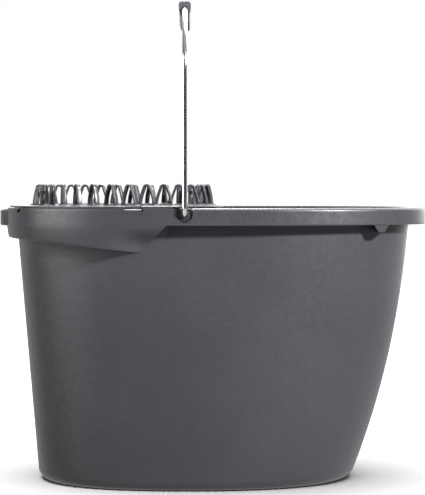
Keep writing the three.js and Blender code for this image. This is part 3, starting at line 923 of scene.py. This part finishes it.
def deckRadius(angle, inset, end):
    # distance from the middle of the mouth to the deck's outline
    direction = Vector((math.cos(angle), math.sin(angle)))
    low, high = 0.0, 400.0
    for step in range(40):
        middle = (low + high) / 2
        x = deck["mouth"][0] + direction.x * middle
        y = direction.y * middle
        drawn = inset + deck["frontInset"] * fade(x, tub["front"] + 3, tub["front"] + 22)
        plan = (rimPlan[0] + drawn, rimPlan[1] - drawn, rimPlan[2] - drawn, rimPlan[3])
        inside = plan[0] < x < end and abs(y) < halfWidthAt(plan, x)
        if inside:
            low = middle
        else:
            high = middle
    return max(low, deck["lobe"] - inset)


deckAngles = [2 * math.pi * i / deck["columns"] for i in range(deck["columns"])]


def deckRadii(inset, end):
    return [deckRadius(angle, inset, end) for angle in deckAngles]


def polarRing(radii, z):
    # radii: one for every angle, or one for all of them
    if not isinstance(radii, list):
        radii = [radii] * deck["columns"]
    middle = Vector((*deck["mouth"], z))
    return [
        middle + Vector((radius * math.cos(angle), radius * math.sin(angle), 0))
        for radius, angle in zip(radii, deckAngles)
    ]


def makeDeck():
    top = deck["top"]
    low = top - deck["thickness"]
    outer = deckRadii(deck["inset"], deck["end"])
    skirtEnd = slots["notchPlace"] - slots["notchWidth"] / 2 - 2
    skirtOuter = deckRadii(deck["skirtInset"], skirtEnd)
    skirtInner = deckRadii(deck["skirtInset"] + deck["skirtWall"], skirtEnd - deck["skirtWall"])
    less = lambda radii, amount: [radius - amount for radius in radii]
    mid = lambda a, b, t: [lerp(p, q, t) for p, q in zip(a, b)]
    mouth = deck["mouthRadius"]
    edge = deck["edge"]
    mouthList = [mouth + 8] * deck["columns"]
    skirtLow = low - deck["skirt"]
    rings = [
        polarRing(mouth, low + 0.4), polarRing(mouth, top - 0.2), polarRing(mouth + 0.15, top + 0.35),
        polarRing(mouth + 0.6, top + 0.6), polarRing(mouth + 1.6, top + 0.6),
        polarRing(mouth + 2.0, top + 0.35), polarRing(mouth + 2.2, top),
        polarRing(mouthList, top), polarRing(mid(mouthList, outer, 0.5), top),
        polarRing(less(outer, edge + 1.2), top),
        *[
            polarRing(less(outer, edge * (1 - math.cos(turn))), top - edge * (1 - math.sin(turn)))
            for turn in (math.pi / 2 * (1 - step / 5) for step in range(6))
        ],
        polarRing(outer, low + 0.15), polarRing(less(outer, 0.15), low),
        polarRing(mid(outer, skirtOuter, 0.9), low), polarRing(skirtOuter, low - 0.5),
        polarRing(skirtOuter, skirtLow + 0.6), polarRing(less(skirtOuter, 0.5), skirtLow),
        polarRing(mid(skirtInner, skirtOuter, 0.25), skirtLow), polarRing(skirtInner, skirtLow + 0.5),
        polarRing(skirtInner, low - 0.5), polarRing(less(skirtInner, 0.5), low),
        polarRing(mid(mouthList, skirtInner, 0.5), low), polarRing(mouth + 0.4, low),
    ]
    plate = ringMesh("wringerDeck", rings, wringerPlastic, "join", "none")
    tools = []
    for side in (1, -1):
        edgeY = side * halfWidthAt(rimPlan, slots["notchPlace"])
        y0, y1 = sorted((edgeY - side * deck["notchDepth"], edgeY + side * 12))
        x0 = slots["notchPlace"] - slots["notchWidth"] / 2
        tools.append(roundedBox("notch", (x0, y0, low - 2), (x0 + slots["notchWidth"], y1, top + 2), 1.4, 4))
        tools.append(ventCutter(side))
        hole = deck["drain"]
        profile = [(hole + 0.5, low - 1), (hole, low + 0.5), (hole, top - 0.5), (hole + 0.5, top + 1)]
        for i in range(deck["drainCount"]):
            x = deck["drainStart"] + deck["drainPitch"] * i
            y = halfWidthAt(rimPlan, x) - 15 - (2 if i < 2 else 0)
            if math.hypot(x - deck["mouth"][0], y) > deck["lobe"] - 4:
                tools.append(turned("drain", profile, (x, side * y, 0), "Z", 24))
    cutOrAdd(plate, joinInto(tools[0], *tools[1:]), "DIFFERENCE")
    return plate


loop = {
    "count": 30,
    "height": 19.6,
    "base": 16,
    "crest": 8.4,
    "thick": 2.3,
    "deep": 4.4,
    "bow": 0.5,
    "round": 0.7,
    "saddleWide": 1.3,
    "saddleHigh": 1.3,
    "saddleGap": 0.45,
}
loop["knuckle"] = loop["deep"] / 2


def loopPlace(index):
    joint = jointOf["loop_lean_%02d" % (index + 1)]
    axis = joint["axis"]
    turn = math.atan2(-axis[1], -axis[0])
    return Matrix.Translation(Vector(joint["pos_m"])) @ Matrix.Rotation(turn, 4, "Z")


def loopSection(deep, thick):
    # rounded rectangle: across the strip's width and through its thickness
    radius = min(loop["round"], deep * 0.48, thick * 0.48)
    return roundRectangle(deep / 2, thick / 2, radius, 3)


def loopRoute():
    # (x, z, share of the full width) down one leg's axis from the foot, over the crest and back
    crest = (loop["crest"] - loop["thick"]) / 2
    foot = (loop["base"] - loop["thick"]) / 2
    shoulder = loop["height"] - loop["knuckle"] - loop["crest"] / 2
    leg = []
    for k in range(5):
        turn = math.pi / 2 * k / 5
        z = -loop["knuckle"] * math.cos(turn)
        leg.append((foot, z, max(0.12, math.sin(turn)) if k else 0.12))
    for k in range(9):
        t = k / 8
        bow = loop["bow"] * math.sin(math.pi * t)
        leg.append((lerp(foot, crest, t) + bow, lerp(0, shoulder, t), 1))
    over = []
    for k in range(1, 14):
        angle = math.pi * k / 14
        over.append((crest * math.cos(angle), shoulder + crest * math.sin(angle), 1))
    back = [(-x, z, share) for x, z, share in reversed(leg)]
    return leg + over + back


def loopMesh():
    route = loopRoute()
    rings = []
    for i, (x, z, share) in enumerate(route):
        ahead = route[min(i + 1, len(route) - 1)]
        behind = route[max(i - 1, 0)]
        along = Vector((ahead[0] - behind[0], 0, ahead[1] - behind[1])).normalized()
        if z < 0:
            along = Vector((0, 0, 1 if x > 0 else -1))
        outward = Vector((along.z, 0, -along.x))
        section = loopSection(loop["deep"] * share, loop["thick"])
        rings.append([Vector((x, 0, z)) + Vector((0, deep, 0)) + outward * thick for deep, thick in section])
    return rings


def makeLoops():
    rings = loopMesh()
    for index in range(loop["count"]):
        strip = ringMesh("squeezeLoop%02d" % (index + 1), rings, wringerPlastic, "face", "face")
        strip.matrix_world = loopPlace(index)
        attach(strip, "loop_%02d" % (index + 1))
        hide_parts("squeeze_loop_%02d" % (index + 1))


def saddleRings():
    # a low frame round one loop's feet, open in the middle, in the loop's own axes
    top = deck["top"] - jointOf["loop_lean_01"]["pos_m"][2] / mm
    halfLong = loop["base"] / 2 + loop["saddleGap"]
    halfWide = loop["knuckle"] + loop["saddleGap"]
    wall = loop["saddleWide"]

    def rectangle(grow, z, radius):
        return [Vector((x, y, z)) for x, y in roundRectangle(halfLong + grow, halfWide + grow, radius, 4)]

    high = top + loop["saddleHigh"]
    return [rectangle(0, top - 0.3, 0.8), rectangle(0, high - 0.3, 0.8), rectangle(0.3, high, 1.0),
            rectangle(wall - 0.4, high, 1.6), rectangle(wall, high - 0.4, 1.9),
            rectangle(wall + 0.5, top - 0.3, 2.2)]


def makeWringer():
    plate = makeDeck()
    rings = saddleRings()
    saddles = []
    for index in range(loop["count"]):
        saddle = ringMesh("saddle", rings, None, "join", "none")
        saddle.matrix_world = loopPlace(index)
        saddles.append(saddle)
    bpy.context.view_layer.update()
    joinInto(plate, *saddles)
    shadeByAngle(plate.data)
    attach(plate, "wringer")
    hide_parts("wringer_deck")


makeWringer()
makeLoops()
print("deck and loops made")


# strainer basket

basketLow, basketHigh = nodeBox("strainer_basket")
basket = {
    "segments": 120,
    "top": basketHigh.z,
    "low": basketLow.z,
    "flange": (basketHigh.x - basketLow.x) / 2,
    "mouth": 70,
    "floor": 44,
    "wall": 2,
    "slots": 20,
    "slotWidth": 6,
    "slotLean": -16,
    "slotShare": 0.62,
    "hole": 3.9,
    "holeRings": ((0, 1), (16, 6), (31, 10)),
}


def slotCutter(index):
    depth = basket["top"] - basket["low"]
    length = depth * basket["slotShare"]
    half = basket["slotWidth"] / 2
    outline = []
    for end in (1, -1):
        for k in range(9):
            angle = math.pi * k / 8
            outline.append((end * half * math.cos(angle), end * (length / 2 - half + half * math.sin(angle))))
    lean = math.atan2(basket["mouth"] - basket["floor"], depth)
    place = (
        Matrix.Translation((deck["mouth"][0], 0, 0))
        @ Matrix.Rotation(2 * math.pi * index / basket["slots"], 4, "Z")
        @ Matrix.Translation(((basket["mouth"] + basket["floor"]) / 2, 0, basket["low"] + depth * 0.48))
        @ Matrix.Rotation(lean, 4, "Y")
        @ Matrix.Rotation(math.radians(basket["slotLean"]), 4, "X")
    )
    return ringMesh("slot", [[place @ Vector((x, y, z)) for y, z in outline] for x in (-12, 12)])


def makeBasket():
    top, low, wall = basket["top"], basket["low"], basket["wall"]
    floor, mouth, flange = basket["floor"], basket["mouth"], basket["flange"]
    profile = [
        (0.01, low), (floor - 5, low), (floor - 2.2, low + 0.9), (floor - 0.6, low + 2.8), (floor, low + 5),
        (mouth + wall, top - 4), (mouth + wall + 0.8, top - 2.4), (mouth + wall + 2.4, top - 2),
        (flange - 0.5, top - 2), (flange, top - 1.5), (flange, top - 0.5), (flange - 0.5, top),
        (mouth + 1.2, top), (mouth + 0.3, top - 0.8), (mouth, top - 2.4),
        (floor - wall, low + 6), (floor - wall - 1.2, low + 3.6), (floor - wall - 4, low + wall),
        (0.01, low + wall),
    ]
    middle = (deck["mouth"][0], 0, 0)
    cone = turned("strainerBasket", profile, middle, "Z", basket["segments"], wringerPlastic)
    tools = [slotCutter(index) for index in range(basket["slots"])]
    profile = [(basket["hole"], low - 1), (basket["hole"], low + 4)]
    for ring, count in basket["holeRings"]:
        for i in range(count):
            angle = 2 * math.pi * i / count
            middle = (deck["mouth"][0] + ring * math.cos(angle), ring * math.sin(angle), 0)
            tools.append(turned("hole", profile, middle, "Z", 24))
    cutOrAdd(cone, joinInto(tools[0], *tools[1:]), "DIFFERENCE")
    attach(cone, "wringer")
    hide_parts("strainer_basket")


makeBasket()
print("basket made")


# studio and camera

studio = {
    "floorTone": (0.55, 0.55, 0.555, 1),
    "skyTone": (1.0, 1.0, 1.0, 1),
    "skyPower": 1.0,
    "roomGlow": 0.04,
    "wallGlow": 0.8,
    "ceilingGlow": 0.55,
    "bounceGlow": 0.9,
    # suns: the way they shine, power, softness in degrees
    "keySun": ((-1.14, 1.0, -0.8), 11, 7),
    "rearSun": ((-0.3, -0.8, -0.75), 3.2, 90),
    "floorSun": ((0, 0, -1), 7.5, 60),
    # lamps: place, size, power
    "lampAim": (0, 0, 0.2),
    "fillLamp": ((-2.6, -0.9, 0.8), (2.0, 1.5), 70),
    "sideLamp": ((2.5, -0.8, 0.7), (1.4, 1.4), 3),
    "topLamp": ((0.1, 0.3, 2.4), (2.0, 1.4), 22),
    "backLamp": ((-0.05, 1.6, 1.45), (0.4, 1.0), 18),
}


def makeFloor():
    material = bpy.data.materials.new("studioFloor")
    material.use_nodes = True
    shader = material.node_tree.nodes["Principled BSDF"]
    shader.inputs["Base Color"].default_value = studio["floorTone"]
    shader.inputs["Roughness"].default_value = 0.9
    shader.inputs["Specular IOR Level"].default_value = 0.1
    bm = bmesh.new()
    bmesh.ops.create_grid(bm, x_segments=1, y_segments=1, size=12)
    floor = newObject("studioFloor", bm, material)
    floor.location.z = -0.0002
    floor.visible_diffuse = False  # the room's glow from below stands in for its bounce
    floor.visible_glossy = False
    return floor


def makeSky():
    # what the eye sees is white; what lights the object is a dim room with a white wall behind it
    world = bpy.data.worlds.new("studioSky")
    bpy.context.scene.world = world
    make, remap, blend = nodeMaker(world)
    place = make("ShaderNodeTexCoord").outputs["Generated"]
    split = make("ShaderNodeSeparateXYZ", {"Vector": place})
    glow = studio["roomGlow"]
    for way, low, high, bright in (("Y", 0.2, 0.75, "wallGlow"), ("Z", 0.3, 0.95, "ceilingGlow"),
                                   ("Z", -0.03, -0.35, "bounceGlow")):
        lit = remap(split.outputs[way], low, high, studio["roomGlow"], studio[bright],
                    interpolation_type="SMOOTHSTEP")
        glow = make("ShaderNodeMath", {0: glow, 1: lit}, operation="MAXIMUM").outputs["Value"]
    room = make("ShaderNodeBackground", {"Strength": glow})
    seen = make("ShaderNodeBackground", {"Color": studio["skyTone"], "Strength": studio["skyPower"]})
    eye = make("ShaderNodeLightPath").outputs["Is Camera Ray"]
    both = {1: room.outputs["Background"], 2: seen.outputs["Background"]}
    mix = make("ShaderNodeMixShader", {"Fac": eye, **both})
    make("ShaderNodeOutputWorld", {"Surface": mix.outputs["Shader"]})


def makeLamp(name, place, size, power):
    light = bpy.data.lights.new(name, "AREA")
    light.shape = "RECTANGLE"
    light.size, light.size_y = size
    light.energy = power
    lamp = bpy.data.objects.new(name, light)
    bpy.context.scene.collection.objects.link(lamp)
    lamp.location = place
    lamp.rotation_euler = (Vector(studio["lampAim"]) - Vector(place)).to_track_quat("-Z", "Y").to_euler()
    return lamp


def makeSun(name, aim, power, softness):
    light = bpy.data.lights.new(name, "SUN")
    light.energy = power
    light.angle = math.radians(softness)
    lamp = bpy.data.objects.new(name, light)
    bpy.context.scene.collection.objects.link(lamp)
    lamp.rotation_euler = Vector(aim).to_track_quat("-Z", "Y").to_euler()
    return lamp


def makeLights(floor):
    # the floor has an even light of its own and the others pass it by, so no hard shadow falls on it
    groups = []
    for name, state in (("allButFloor", "EXCLUDE"), ("floorOnly", "INCLUDE")):
        group = bpy.data.collections.new(name)
        group.objects.link(floor)
        group.collection_objects[0].light_linking.link_state = state
        groups.append(group)
    even = makeSun("floorSun", *studio["floorSun"])
    even.light_linking.receiver_collection = groups[1]
    others = [makeSun("keySun", *studio["keySun"]), makeSun("rearSun", *studio["rearSun"])]
    for name in ("fillLamp", "sideLamp", "topLamp", "backLamp"):
        others.append(makeLamp(name, *studio[name]))
    for lamp in others:
        lamp.light_linking.receiver_collection = groups[0]


view = {
    "distance": 1.850,
    "height": 0.2715,
    "side": -0.021,
    "shift": 0.0445,
    "pitch": 1.704,
    "focal": 141.3,
}


def makeCamera():
    lens = bpy.data.cameras.new("studioCamera")
    lens.lens = view["focal"]
    lens.sensor_width = 36
    lens.shift_x = view["shift"]
    lens.clip_end = 60
    camera = bpy.data.objects.new("studioCamera", lens)
    bpy.context.scene.collection.objects.link(camera)
    camera.location = (view["side"], -view["distance"], view["height"])
    camera.rotation_euler = (math.radians(90 - view["pitch"]), 0, 0)
    bpy.context.scene.camera = camera


studioFloor = makeFloor()
makeSky()
makeLights(studioFloor)
makeCamera()
bpy.context.scene.view_settings.view_transform = "Standard"
print("studio made")
